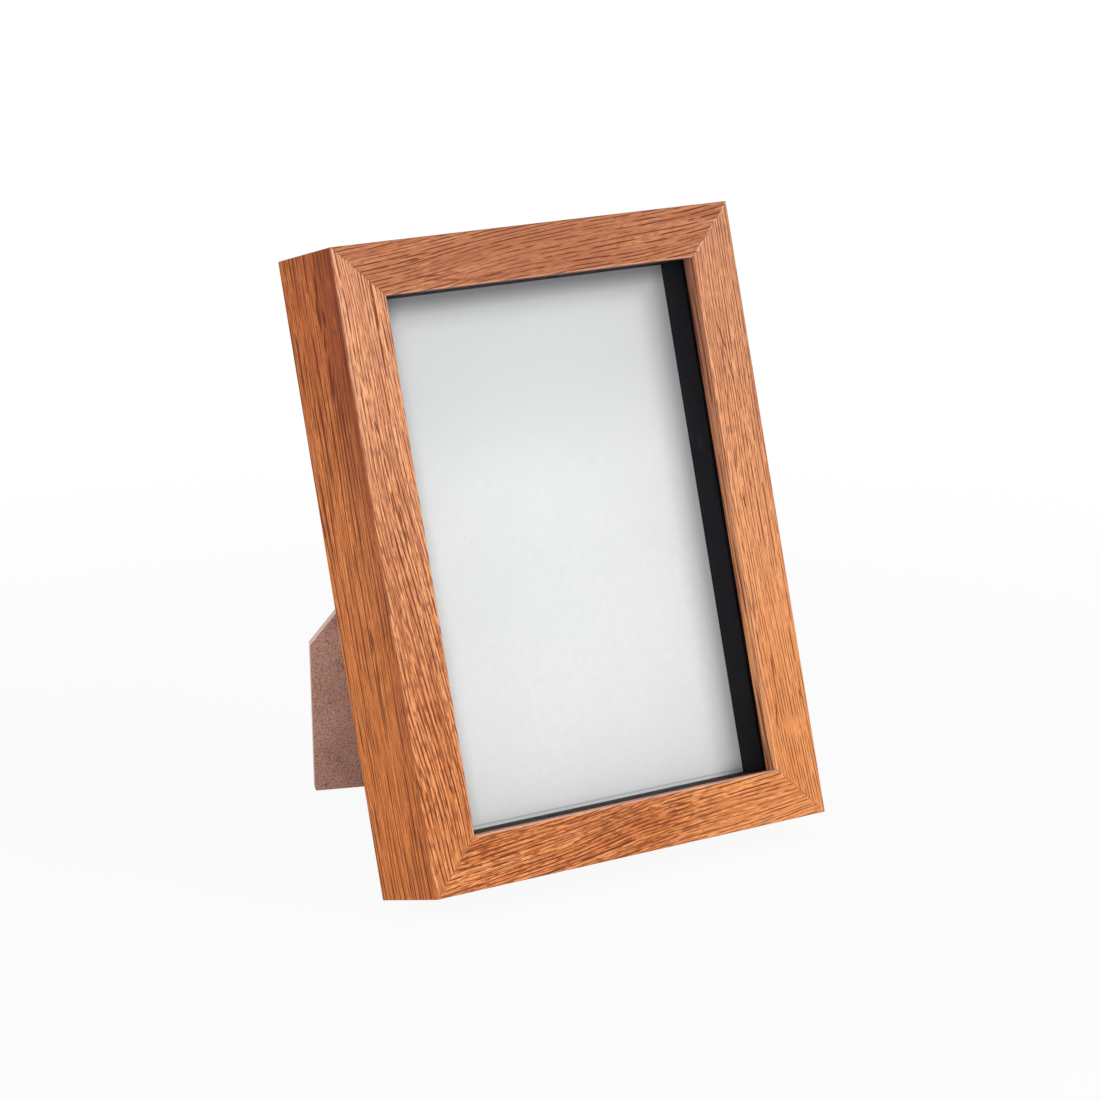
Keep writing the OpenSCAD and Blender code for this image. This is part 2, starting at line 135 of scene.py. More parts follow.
def useModifier(piece, kind, **values):
    takeUp(piece)
    mod = piece.modifiers.new(kind.lower(), kind)
    for key, value in values.items():
        setattr(mod, key, value)
    bpy.ops.object.modifier_apply(modifier=mod.name)


def evenShading(piece, degrees):
    takeUp(piece)
    bpy.ops.object.shade_smooth_by_angle(angle=math.radians(degrees))
    useModifier(piece, "WEIGHTED_NORMAL", weight=50, keep_sharp=True)


def dress(piece, mats):
    piece.data.materials.clear()
    for mat in mats:
        piece.data.materials.append(mat)


# node helpers: a value is a plain number or another node's output
def startMaterial(name):
    mat = bpy.data.materials.new(name)
    mat.use_nodes = True
    mat.node_tree.nodes.clear()
    return mat


def feed(mat, socket, value):
    if isinstance(value, bpy.types.NodeSocket):
        mat.node_tree.links.new(value, socket)
    else:
        socket.default_value = value


def addNode(mat, kind, settings=None, inputs=None):
    node = mat.node_tree.nodes.new(kind)
    for key, value in (settings or {}).items():
        setattr(node, key, value)
    for key, value in (inputs or {}).items():
        feed(mat, node.inputs[key], value)
    return node


def calc(mat, operation, *values):
    node = addNode(mat, "ShaderNodeMath", {"operation": operation})
    for spot, value in enumerate(values):
        feed(mat, node.inputs[spot], value)
    return node.outputs[0]


def times(mat, first, *others):
    for other in others:
        first = calc(mat, "MULTIPLY", first, other)
    return first


def plus(mat, first, second):
    return calc(mat, "ADD", first, second)


def larger(mat, first, second):
    return calc(mat, "MAXIMUM", first, second)


def line(mat, value, slope, start):
    return calc(mat, "MULTIPLY_ADD", value, slope, start)


def lessThanOne(mat, value):
    return calc(mat, "SUBTRACT", 1.0, value)


def fade(mat, value, low, high, start=0.0, end=1.0):
    node = addNode(mat, "ShaderNodeMapRange", {"interpolation_type": "SMOOTHSTEP"}, {
        "Value": value, "From Min": low, "From Max": high, "To Min": start, "To Max": end})
    return node.outputs["Result"]


def near(mat, value, place, low, high, amount=1.0):
    off = calc(mat, "ABSOLUTE", calc(mat, "SUBTRACT", value, place))
    return fade(mat, off, low, high, amount, 0.0)


def mixTint(mat, amount, first, second, kind="MIX"):
    node = addNode(mat, "ShaderNodeMix", {"data_type": "RGBA", "blend_type": kind, "clamp_factor": True})
    # input 0 is the amount, inputs 6 and 7 are the two colours, output 2 is the mixed colour
    for spot, value in ((0, amount), (6, first), (7, second)):
        feed(mat, node.inputs[spot], value)
    return node.outputs[2]


def joined(mat, x, y):
    return addNode(mat, "ShaderNodeCombineXYZ", inputs={"X": x, "Y": y}).outputs[0]


def partsOf(mat, vector):
    return addNode(mat, "ShaderNodeSeparateXYZ", inputs={"Vector": vector}).outputs


def stretched(mat, first, second, firstScale, secondScale, shift):
    return joined(mat, line(mat, first, firstScale, shift), line(mat, second, secondScale, shift))


def noise(mat, vector, scale=1.0, detail=2.0, rough=0.5, kind="3D"):
    node = addNode(mat, "ShaderNodeTexNoise", {"noise_dimensions": kind}, {
        "Vector": vector, "Scale": scale, "Detail": detail, "Roughness": rough})
    return node.outputs["Fac"]


def objectSpot(mat):
    return addNode(mat, "ShaderNodeTexCoord").outputs["Object"]


def objectPlace(mat, scale=(1, 1, 1), turn=(0, 0, 0)):
    values = {"Vector": objectSpot(mat), "Rotation": turn, "Scale": scale}
    return addNode(mat, "ShaderNodeMapping", inputs=values).outputs[0]


# a colour as a picture gives it, from 0 to 255, in the linear light that shaders use
def tint(red, green, blue):
    shares = [c / 255 for c in (red, green, blue)]
    linear = [s / 12.92 if s <= 0.04 else ((s + 0.055) / 1.055) ** 2.4 for s in shares]
    return (*linear, 1.0)


def finishMaterial(mat, colour, rough, height, depth, lift, **sockets):
    shader = addNode(mat, "ShaderNodeBsdfPrincipled", inputs={"Base Color": colour, "Roughness": rough})
    for key, value in sockets.items():
        feed(mat, shader.inputs[key.replace("_", " ")], value)
    bump = addNode(mat, "ShaderNodeBump", inputs={"Height": height, "Distance": depth, "Strength": lift})
    feed(mat, shader.inputs["Normal"], bump.outputs["Normal"])
    out = addNode(mat, "ShaderNodeOutputMaterial")
    feed(mat, out.inputs["Surface"], shader.outputs[0])
    return mat


# middle of each rail on the maps' long direction
railMiddle = {"bottom": 1.0, "top": 2.0, "left": 3.0, "right": 4.0}
# one moulding shape for all four rails; x runs along the rail, y back, z in from the outer edge
railSet = {
    "arris": 0.0007,
    "arrisSteps": 6,
    "lipArris": 0.0003,          # crisper edge beside the glass
    "lipArrisSteps": 4,
    "seam": 0.00014,             # eased edge where two rails meet
    "seamReach": 2.5,            # the eased edge's faces lie within so many seams of the mitre
    "spare": 0.002,              # extra length before the mitres are cut
    "weld": 1e-6,
    "near": 0.0002,              # a point counts as on a face when it is nearer than this
    "rearReach": 0.001,
    "mitreSlack": 0.02,          # how far a face's direction may be off the mitre's
    "sideSlant": 0.2,            # share of the grain's slant on the side face
    "smooth": 25,
    # length, place in the upright frame, slant of the grain
    "rails": {
        "bottom": (frameW, upright(0, 0), -0.09),
        "top": (frameW, upright(0, frameH, 180), -0.10),
        "left": (frameH, upright(-frameW / 2, frameH / 2, 90), -0.075),
        "right": (frameH, upright(frameW / 2, frameH / 2, -90), -0.03),
    },
}
# where the front face ends, measured round the section from the end of the side face
frontEnd = railSet["arris"] * (math.pi / 2 - 1) + faceW - railSet["lipArris"]

# printed wood-grain foil; the map "grain" runs along each rail, "wrap" round its section
foilTints = {
    "light": (242, 165, 109),
    "middle": (206, 123, 72),
    "deep": (150, 80, 46),
    "fineLine": (126, 62, 35),
    "pore": (94, 40, 23),
    # colour of the painted sheen and highlights near the top and on the arrises
    "paintedSheen": (240, 182, 150),
    "footWarmShade": (255, 247, 232),
    "sideTone": (126, 46, 10),
    "sideLift": (255, 160, 84),
    "sideCastFoot": (251, 236, 214),
    "sideCastTop": (252, 222, 174),
    "lipFootLight": (254, 176, 118),
    "sillHighlight": (206, 190, 204),     # painted highlight: thin pale line where the foil ends at the glass
}
foilLook = {
    "roughness": 0.5,
    "poreRoughness": 0.15,
    "relief": (0.00004, 0.25),
    "fibreRelief": 0.3,
    "gloss": 0.15,
    "broadShare": 0.40,
    "fibreShare": 0.60,
    "wander": 0.0030,            # how far the grain wanders across the rail, short and long waves
    "drift": 0.0080,
    "strokeWander": 0.0012,
    "shortLines": 0.72,
    "lineWave": (13, 0.30),      # waves in the lines: stretch along the rail, share of the line count
    "offFront": 0.5,             # share of the fine lines off the front face
    "lipDark": 0.5,
    "sideFine": 0.55,
    "topOnSide": 0.7,
}
# noise in the print: stretch along the rail, stretch across it, seed, detail
foilNoise = {
    "wander": (15, 60, 3.1, 1),
    "drift": (6, 24, 8.7, 0),
    "broad": (9, 260, 1.3, 2),
    "fibre": (60, 2100, 5.9, 1),
    "patch": (20, 120, 9.2, 2),
    "fineBreak": (130, 820, 2.2, 1),
    "boldBreak": (110, 700, 6.4, 1),
    "wideBreak": (30, 430, 8.8, 1),
    "short": (260, 1750, 7.3, 1),
    "lipStreak": (24, 850, 2.9, 1),
}
# printed pore lines: count per metre, wobble in lines, where a line starts and is full, seed
foilLines = {
    "fine": (1050, 1.6, 0.05, 0.90, 4.3),
    "bold": (820, 1.5, 0.40, 0.96, 7.7),
    "wide": (430, 1.6, 0.15, 0.95, 5.5),
}
# soft steps in the print: where a step starts and ends, its value before and after it
foilSteps = {
    # in the noise
    "fineBreak": (0.32, 0.50, 0.0, 1.0),
    "boldBreak": (0.34, 0.52, 0.0, 1.0),
    "wideBreak": (0.42, 0.56, 0.0, 0.92),
    "short": (0.50, 0.66, 0.0, 1.0),
    "lipStreak": (0.46, 0.60, 0.0, 0.60),
    "tone": (0.40, 0.60, 0.0, 1.0),
    "fineOnBroad": (0.35, 0.65, 0.95, 0.60),
    "darkPatch": (0.32, 0.60, 0.62, 0.96),
    "strokeFibre": (0.30, 0.62, 0.80, 1.10),
    "stroke": (0.04, 0.50, 0.0, 0.88),
    # round the section
    "onSide": (-0.0010, 0.0, 1.0, 0.0),
    "wideBand": (-0.0130, -0.0080, 0.0, 0.33),
    "closeBand": (-0.0050, -0.0012, 0.0, 0.27),
    "bandEnd": (-0.0002, 0.0002, 1.0, 0.0),
    "paintedSheenFront": (-0.001, 0.001, 0.1, 1.0),
    "arrisStart": (0.0001, 0.0006, 0.0, 1.0),
    "arrisEnd": (0.0010, 0.0024, 1.0, 0.0),
    # round the section, from the end of the front face
    "onLip": (0.0002, 0.0004, 0.0, 1.0),
    "innerStart": (-0.0004, -0.0001, 0.0, 1.0),
    "innerEnd": (0.0001, 0.0003, 0.45, 0.0),
    "sillStart": (0.0, 0.00015, 0.0, 1.0),
    "sillEnd": (0.0009, 0.0013, 0.65, 0.0),
    # up from the table
    "footWarmShade": (0.02, 0.12, 1.0, 0.0),
    "sideLift": (0.06, 0.17, 0.32, 0.10),
    "bandRise": (0.04, 0.18, 0.60, 1.0),
    "sideRise": (0.10, 0.185, 0.02, 0.34),
    # painted shade at the top of the lip's inner face and painted light at its foot
    "lipShadeRise": (0.10, 0.19, 0.0, 0.80),
    "lipFootLight": (0.04, 0.15, 0.85, 0.0),
    "sideCast": (0.10, 0.18, 0.0, 1.0),
    "paintedSheenRise": (0.03, 0.21, 0.0, 0.30),
    "arrisRise": (0.09, 0.18, 0.0, 0.50),
    # along the map
    "toRight": (3.5, 3.6, 0.0, 1.0),
    "rightLow": (3.98, 4.06, 0.36, 0.0),         # the right rail's lower part is lighter
    "topSill": (1.4, 1.6, 1.0, 0.30),
    "sillStop": (2.4, 2.6, 1.0, 0.0),
}
# how far from the middle of a rail a mark on the whole rail reaches: start, end, amount
railReach = {
    "topShade": (0.11, 0.13, 0.60),              # the top rail's print is darker
    "topSide": (0.11, 0.13, 0.6),
    "leftArrisHighlight": (0.11, 0.12, 1.0),
}
# stretches of rail that are darker or lighter: place along, reach, amount, towards
stretchCore = 0.2                # share of the reach that is fully darker or lighter
stretches = [
    (3.045, 0.060, 0.14, "deep"),
    (3.098, 0.030, 0.20, "light"),
    (4.095, 0.070, 0.22, "deep"),
    (0.990, 0.050, 0.14, "deep"),
    (1.060, 0.055, 0.40, "light"),
    (2.000, 0.050, 0.34, "deep"),
    (3.930, 0.080, 0.34, "light"),
]
# strokes of the figure: place along, place across, half length, half width, turn in degrees, strength
strokes = [
    (0.9820, 0.0138, 0.0050, 0.00090, -24, 0.26),
    (0.9890, 0.0134, 0.0058, 0.00100, -22, 0.33),
    (0.9952, 0.0130, 0.0056, 0.00110, -19, 0.36),
    (1.0018, 0.0131, 0.0060, 0.00110, -17, 0.35),
    (1.0085, 0.0136, 0.0056, 0.00100, -20, 0.29),
    (1.0190, 0.0130, 0.0075, 0.00090, -13, 0.33),
    (0.9740, 0.0153, 0.0130, 0.00080, 2, 0.36),
    (0.9980, 0.0146, 0.0170, 0.00100, 1, 0.24),
    (0.9876, 0.0164, 0.0140, 0.00041, 5, 0.6),
    (1.0247, 0.0056, 0.0109, 0.00033, 6, 0.8),
    (2.0425, 0.0130, 0.0095, 0.00060, -2, 0.55),
    (2.0400, 0.0146, 0.0085, 0.00080, -9, 0.36),
    (2.0345, 0.0152, 0.0095, 0.00090, -6, 0.38),
    (2.0270, 0.0160, 0.0085, 0.00080, -5, 0.34),
    (2.0334, 0.0128, 0.0075, 0.00080, -14, 0.26),
    (2.0467, 0.0061, 0.0102, 0.00038, 5, 0.7),
    (2.0472, 0.0078, 0.0063, 0.00036, 9, 0.6),
    (2.0189, 0.0154, 0.0066, 0.00036, 6, 0.7),
    (2.9126, 0.0125, 0.0048, 0.00056, 1, 1),
    (2.9212, 0.0126, 0.0086, 0.00056, 1, 1),
    (2.9326, 0.0128, 0.0100, 0.00056, 1, 1),
    (2.9744, 0.0106, 0.0036, 0.00046, 1, 0.9),
    (2.9787, 0.0077, 0.0048, 0.00038, 4, 0.9),
    (2.9836, 0.0096, 0.0035, 0.00041, 6, 1),
    (2.9893, 0.0102, 0.0042, 0.00036, 7, 0.8),
    (2.9779, 0.0147, 0.0055, 0.00036, 8, 0.7),
    (2.9621, 0.0076, 0.0052, 0.00036, 14, 0.7),
    (2.9550, 0.0062, 0.0033, 0.00038, 8, 0.8),
    (4.0586, 0.0112, 0.0072, 0.00038, 11, 0.8),
    (4.0472, 0.0096, 0.0083, 0.00036, 5, 0.7),
    (4.0376, 0.0127, 0.0075, 0.00090, -11, 0.38),
    (4.0507, 0.0119, 0.0098, 0.00036, -7, 0.6),
    (4.0188, 0.0130, 0.0065, 0.00080, -2, 0.42),
    (4.0033, 0.0126, 0.0039, 0.00046, 5, 0.8),
    (3.9684, 0.0162, 0.0079, 0.00056, -1, 0.55),
    (3.9577, 0.0164, 0.0055, 0.00046, -2, 0.5),
    (3.9473, 0.0124, 0.0091, 0.00056, -3, 0.6),
    (3.9329, 0.0138, 0.0090, 0.00071, -8, 0.5),
    (3.9382, 0.0031, 0.0028, 0.00041, 4, 0.8),
    (3.9558, 0.0032, 0.0047, 0.00041, 7, 0.5),
    (3.9722, 0.0093, 0.0065, 0.00041, 12, 0.5),
    (2.9176, -0.0131, 0.0075, 0.00120, 1, 1),
    (2.9187, -0.0104, 0.0045, 0.00100, 8, 0.8),
    (2.9266, -0.0122, 0.0045, 0.00080, -6, 0.8),
    (2.9373, -0.0121, 0.0100, 0.00100, -8, 1),
    (2.9398, -0.0109, 0.0080, 0.00080, -12, 0.8),
    (2.9096, -0.0121, 0.0075, 0.00120, -4, 0.9),
    (2.9530, -0.0086, 0.0130, 0.00080, 1, 0.85),
    (2.9680, -0.0080, 0.0130, 0.00060, 1, 0.6),
    (2.9860, -0.0100, 0.0110, 0.00060, 0, 0.6),
    (3.0196, -0.0132, 0.0060, 0.00085, 1, 0.9),
    (3.0377, -0.0130, 0.0200, 0.00065, 0, 0.8),
    (3.0660, -0.0118, 0.0120, 0.00060, 1, 0.5),
]


def foilStep(mat, value, name, base=0.0):
    low, high, before, after = foilSteps[name]
    return fade(mat, value, base + low, base + high, before, after)


def wholeRail(mat, u, side, name):
    return near(mat, u, railMiddle[side], *railReach[name])


def threads(mat, name, u, across):
    along, over, seed, detail = foilNoise[name]
    return noise(mat, stretched(mat, u, across, along, over, seed), 1, detail, kind="2D")


def makeLines(mat, name, u, across):
    count, wobble, low, high, seed = foilLines[name]
    along, share = foilLook["lineWave"]
    shift = noise(mat, stretched(mat, u, across, along, count * share, seed), 1, 1, kind="2D")
    turns = plus(mat, times(mat, across, count), times(mat, shift, wobble))
    return fade(mat, calc(mat, "SINE", times(mat, turns, math.tau)), low, high)


# the figure's strokes, as one amount
def makeStrokes(mat, u, v, wander, fibre):
    reach = foilLook["strokeWander"]
    wavy = joined(mat, u, plus(mat, v, line(mat, wander, reach, -reach / 2)))
    ovals = None
    for along, across, halfLong, halfWide, turn, strength in strokes:
        local = addNode(mat, "ShaderNodeMapping", {"vector_type": "TEXTURE"}, {
            "Vector": wavy, "Location": (along, across, 0), "Rotation": (0, 0, math.radians(turn)),
            "Scale": (halfLong, halfWide, 1)}).outputs[0]
        oval = addNode(mat, "ShaderNodeTexGradient", {"gradient_type": "SPHERICAL"}, {"Vector": local})
        oval = times(mat, oval.outputs["Fac"], strength)
        ovals = oval if ovals is None else larger(mat, ovals, oval)
    return foilStep(mat, times(mat, ovals, foilStep(mat, fibre, "strokeFibre")), "stroke")


def makeFoil():
    mat = startMaterial("foilGrain")
    shade = {name: tint(*value) for name, value in foilTints.items()}
    grain = partsOf(mat, addNode(mat, "ShaderNodeUVMap", {"uv_map": "grain"}).outputs["UV"])
    wrap = partsOf(mat, addNode(mat, "ShaderNodeUVMap", {"uv_map": "wrap"}).outputs["UV"])
    u, slant, v = grain["X"], grain["Y"], wrap["Y"]
    height = partsOf(mat, objectSpot(mat))["Z"]
    wander, drift = threads(mat, "wander", u, slant), threads(mat, "drift", u, slant)
    across = plus(mat, slant, line(mat, wander, foilLook["wander"], -foilLook["wander"] / 2))
    across = plus(mat, across, line(mat, drift, foilLook["drift"], -foilLook["drift"] / 2))
    broad, fibre, patch = (threads(mat, name, u, across) for name in ("broad", "fibre", "patch"))
    fineBreak, boldBreak, wideBreak, short = (
        foilStep(mat, threads(mat, name, u, across), name)
        for name in ("fineBreak", "boldBreak", "wideBreak", "short"))
    fine, bold, wide = (makeLines(mat, name, u, across) for name in ("fine", "bold", "wide"))

    # the front ends at the arris on one side and at the lip on the other
    onSide = foilStep(mat, v, "onSide")
    onLip = foilStep(mat, v, "onLip", frontEnd)
    onFront = lessThanOne(mat, larger(mat, onSide, onLip))

    # soft tone of the wood and its fine lines
    tone = plus(mat, times(mat, broad, foilLook["broadShare"]), times(mat, fibre, foilLook["fibreShare"]))
    colour = mixTint(mat, foilStep(mat, tone, "tone"), shade["middle"], shade["light"])
    faint = times(mat, fine, fineBreak, foilStep(mat, broad, "fineOnBroad"))
    faint = larger(mat, faint, times(mat, short, foilLook["shortLines"]))
    faint = times(mat, faint, line(mat, onFront, 1 - foilLook["offFront"], foilLook["offFront"]))
    colour = mixTint(mat, faint, colour, shade["fineLine"])

    # rails and stretches of rail that are darker or lighter
    top = times(mat, wholeRail(mat, u, "top", "topShade"), line(mat, onSide, -foilLook["topOnSide"], 1.0))
    colour = mixTint(mat, top, colour, shade["deep"])
    right = times(mat, foilStep(mat, u, "toRight"), foilStep(mat, u, "rightLow"))
    colour = mixTint(mat, right, colour, shade["light"])
    for along, reach, amount, towards in stretches:
        stretch = near(mat, u, along, reach * stretchCore, reach, amount)
        colour = mixTint(mat, stretch, colour, shade[towards])
    # painted shade: the foil turns warmer and a little darker towards the table
    colour = mixTint(mat, foilStep(mat, height, "footWarmShade"), colour, shade["footWarmShade"], "MULTIPLY")

    # dark pores, close together in some streaks, and the strokes; wider lines off the front
    dark = times(mat, bold, boldBreak, foilStep(mat, patch, "darkPatch"))
    dark = times(mat, dark, line(mat, onLip, -foilLook["lipDark"], 1.0))
    dark = larger(mat, dark, makeStrokes(mat, u, v, wander, fibre))
    wide = larger(mat, times(mat, wide, wideBreak), times(mat, faint, foilLook["sideFine"]))
    dark = larger(mat, dark, times(mat, wide, lessThanOne(mat, onFront)))

    # the side face has a lighter foot, a redder top and a darker band beside the arris
    lift = times(mat, onSide, foilStep(mat, height, "sideLift"))
    colour = mixTint(mat, lift, colour, shade["sideLift"])
    band = plus(mat, foilStep(mat, v, "wideBand"), foilStep(mat, v, "closeBand"))
    band = times(mat, band, foilStep(mat, v, "bandEnd"), foilStep(mat, height, "bandRise"))
    side = plus(mat, band, times(mat, onSide, foilStep(mat, height, "sideRise")))
    side = times(mat, side, lessThanOne(mat, wholeRail(mat, u, "top", "topSide")))

    # the lip's inner face is streaked, with painted light at its foot and painted shade at its top, under the top
    # rail
    streak = foilStep(mat, threads(mat, "lipStreak", u, v), "lipStreak")
    lip = times(mat, onLip, larger(mat, streak, foilStep(mat, height, "lipShadeRise")))
    pale = times(mat, onLip, foilStep(mat, height, "lipFootLight"))
    colour = mixTint(mat, pale, colour, shade["lipFootLight"])
    # the side's darker tone, which also carries the painted shade at the top of the lip
    colour = mixTint(mat, larger(mat, side, lip), colour, shade["sideTone"])
    cast = mixTint(mat, foilStep(mat, height, "sideCast"), shade["sideCastFoot"], shade["sideCastTop"])
    colour = mixTint(mat, onSide, colour, cast, "MULTIPLY")

    # painted sheen, pinker towards the top of the frame, and painted highlights on the left arris and on the lip's
    # edge
    paintedSheen = times(mat, foilStep(mat, height, "paintedSheenRise"), foilStep(mat, v, "paintedSheenFront"))
    paintedSheen = times(mat, paintedSheen, lessThanOne(mat, top))
    edge = times(mat, foilStep(mat, v, "arrisStart"), foilStep(mat, v, "arrisEnd"),
                 foilStep(mat, height, "arrisRise"), wholeRail(mat, u, "left", "leftArrisHighlight"))
    lipEdgeHighlight = times(mat, foilStep(mat, v, "innerStart", frontEnd), foilStep(mat, v, "innerEnd", frontEnd))
    edge = larger(mat, edge, lipEdgeHighlight)
    colour = mixTint(mat, larger(mat, paintedSheen, edge), colour, shade["paintedSheen"])
    colour = mixTint(mat, dark, colour, shade["pore"])
    # painted highlight along the lip's edge at the glass, full on the bottom rail and fainter on the top rail
    sillHighlight = times(mat, foilStep(mat, v, "sillStart", frontEnd), foilStep(mat, v, "sillEnd", frontEnd),
                 foilStep(mat, u, "topSill"), foilStep(mat, u, "sillStop"))
    colour = mixTint(mat, sillHighlight, colour, shade["sillHighlight"])

    rough = line(mat, dark, foilLook["poreRoughness"], foilLook["roughness"])
    relief = calc(mat, "SUBTRACT", times(mat, fibre, foilLook["fibreRelief"]), dark)
    return finishMaterial(mat, colour, rough, relief, *foilLook["relief"],
                          Specular_IOR_Level=foilLook["gloss"])


# boards: two tones, flecks and their amount, the hard skins beside a cut edge, painted shade at the foot
boards = {
    "rawBoard": ((214, 176, 142), (182, 144, 112), (130, 94, 70), 0.5, None, 0.0),
    "legFace": ((208, 162, 146), (146, 102, 88), (74, 42, 32), 0.8, None, 0.22),
    "backFace": ((180, 138, 114), (142, 102, 82), (86, 56, 44), 0.5, None, 0.0),
    "cutEdge": ((250, 226, 208), (232, 202, 184), (190, 150, 130), 0.3, (180, 134, 116), 0.0),
    "greyBoard": ((186, 170, 150), (156, 140, 120), (110, 96, 84), 0.4, None, 0.0),
}
boardSet = {
    "cloud": (90, 3),
    "grit": (2600, 3, 0.65),
    "fibre": ((900, 5200, 1500), (0.3, 0.5, 0.9)),
    "fleck": (1300, 1),
    "cloudShare": 0.15,
    "gritShare": 0.85,
    "toneStep": (0.41, 0.59),
    "fibreStep": (0.58, 0.72),
    "fibreAmount": 0.35,
    "fleckStep": (0.66, 0.72),
    "footShadeHeight": 0.05,
    "skin": 0.10,                # each skin's share of the thickness, and how softly it ends
    "rough": 0.85,
    "relief": (0.00008, 0.5),
    "gloss": 0.25,
}


def makeBoard(name):
    pale, deep, fleck, fleckAmount, skin, foot = boards[name]
    mat = startMaterial(name)
    spot = objectPlace(mat)
    cloud = noise(mat, spot, *boardSet["cloud"])
    grit = noise(mat, spot, *boardSet["grit"])
    fibre = noise(mat, objectPlace(mat, *boardSet["fibre"]))
    flecks = fade(mat, noise(mat, spot, *boardSet["fleck"]), *boardSet["fleckStep"])
    tone = plus(mat, times(mat, cloud, boardSet["cloudShare"]), times(mat, grit, boardSet["gritShare"]))
    colour = mixTint(mat, fade(mat, tone, *boardSet["toneStep"]), tint(*deep), tint(*pale))
    fibre = times(mat, fade(mat, fibre, *boardSet["fibreStep"]), boardSet["fibreAmount"])
    colour = mixTint(mat, fibre, colour, tint(*pale))
    colour = mixTint(mat, times(mat, flecks, fleckAmount), colour, tint(*fleck))
    # painted shade: darker towards the foot, set for the leg's face only
    low = fade(mat, partsOf(mat, spot)["Z"], 0.0, boardSet["footShadeHeight"], foot, 0.0)
    colour = mixTint(mat, low, colour, tint(*fleck))
    if skin:                     # a cut edge is pale only between the board's two hard skins
        layer = partsOf(mat, addNode(mat, "ShaderNodeUVMap", {"uv_map": "skin"}).outputs["UV"])["Y"]
        thin = boardSet["skin"]
        core = times(mat, fade(mat, layer, thin, 2 * thin),
                     fade(mat, layer, 1 - 2 * thin, 1 - thin, 1.0, 0.0))
        colour = mixTint(mat, core, tint(*skin), colour)
    return finishMaterial(mat, colour, boardSet["rough"], grit, *boardSet["relief"],
                          Specular_IOR_Level=boardSet["gloss"])


# the line where two rails meet, with small pale chips, most of them at the top right
seamSet = {
    "plain": ((186, 114, 70), (156, 94, 66)),            # at the foot, at the top
    "chip": (226, 204, 208),
    "plainRise": (0.04, 0.16),
    "toRight": (-0.01, 0.01),
    "toTop": (0.095, 0.115),
    "chips": (420, 2),
    "topChips": (0.46, 0.54, 0.05, 1.0),
    "fewChips": (0.60, 0.66),
    "rough": 0.6,
    "relief": (0.00003, 0.4),
}


def makeSeam():
    mat = startMaterial("mitreSeam")
    spot = objectSpot(mat)
    part = partsOf(mat, spot)
    right = fade(mat, part["X"], *seamSet["toRight"])
    high = fade(mat, part["Z"], *seamSet["toTop"])
    chips = noise(mat, spot, *seamSet["chips"])
    pale = times(mat, right, high, fade(mat, chips, *seamSet["topChips"]))
    pale = larger(mat, pale, fade(mat, chips, *seamSet["fewChips"]))
    foot, head = seamSet["plain"]
    plain = mixTint(mat, fade(mat, part["Z"], *seamSet["plainRise"]), tint(*foot), tint(*head))
    colour = mixTint(mat, pale, plain, tint(*seamSet["chip"]))
    return finishMaterial(mat, colour, seamSet["rough"], chips, *seamSet["relief"])


# clear glass that lets the lamps through; the low index keeps reflections faint
glassSet = {"colour": (0.97, 0.985, 0.98, 1), "index": 1.1}


def makeGlass():
    mat = startMaterial("paneGlass")
    body = addNode(mat, "ShaderNodeBsdfPrincipled", inputs={
        "Base Color": glassSet["colour"], "Roughness": 0.0, "IOR": glassSet["index"],
        "Transmission Weight": 1.0})
    clear = addNode(mat, "ShaderNodeBsdfTransparent")
    ray = addNode(mat, "ShaderNodeLightPath").outputs
    through = larger(mat, ray["Is Shadow Ray"], ray["Is Diffuse Ray"])
    mix = addNode(mat, "ShaderNodeMixShader", inputs={0: through, 1: body.outputs[0], 2: clear.outputs[0]})
    out = addNode(mat, "ShaderNodeOutputMaterial")
    feed(mat, out.inputs["Surface"], mix.outputs[0])
    return mat


spacerSet = {
    "tones": ((6, 7, 11), (12, 13, 20)),
    "foot": (2, 2, 3),
    "footRise": (0.02, 0.10, 0.7, 0.0),
    "scuff": (90, 90, 96),
    "scuffStretch": (700, 700, 130),
    "scuffStep": (0.70, 0.78),
    "scuffAmount": 0.25,
    "grit": (2200, 2),
    "gritStep": (0.3, 0.7),
    "rough": 0.6,
    "relief": (0.00004, 0.3),
    "gloss": 0.08,
}


def makeSpacer():
    mat = startMaterial("blackSpacer")
    spot = objectPlace(mat)
    grit = noise(mat, spot, *spacerSet["grit"])
    scuff = noise(mat, objectPlace(mat, spacerSet["scuffStretch"]))
    scuff = times(mat, fade(mat, scuff, *spacerSet["scuffStep"]), spacerSet["scuffAmount"])
    dull, bright = spacerSet["tones"]
    colour = mixTint(mat, fade(mat, grit, *spacerSet["gritStep"]), tint(*dull), tint(*bright))
    low = fade(mat, partsOf(mat, spot)["Z"], *spacerSet["footRise"])
    colour = mixTint(mat, low, colour, tint(*spacerSet["foot"]))
    colour = mixTint(mat, scuff, colour, tint(*spacerSet["scuff"]))
    return finishMaterial(mat, colour, spacerSet["rough"], grit, *spacerSet["relief"],
                          Specular_IOR_Level=spacerSet["gloss"])


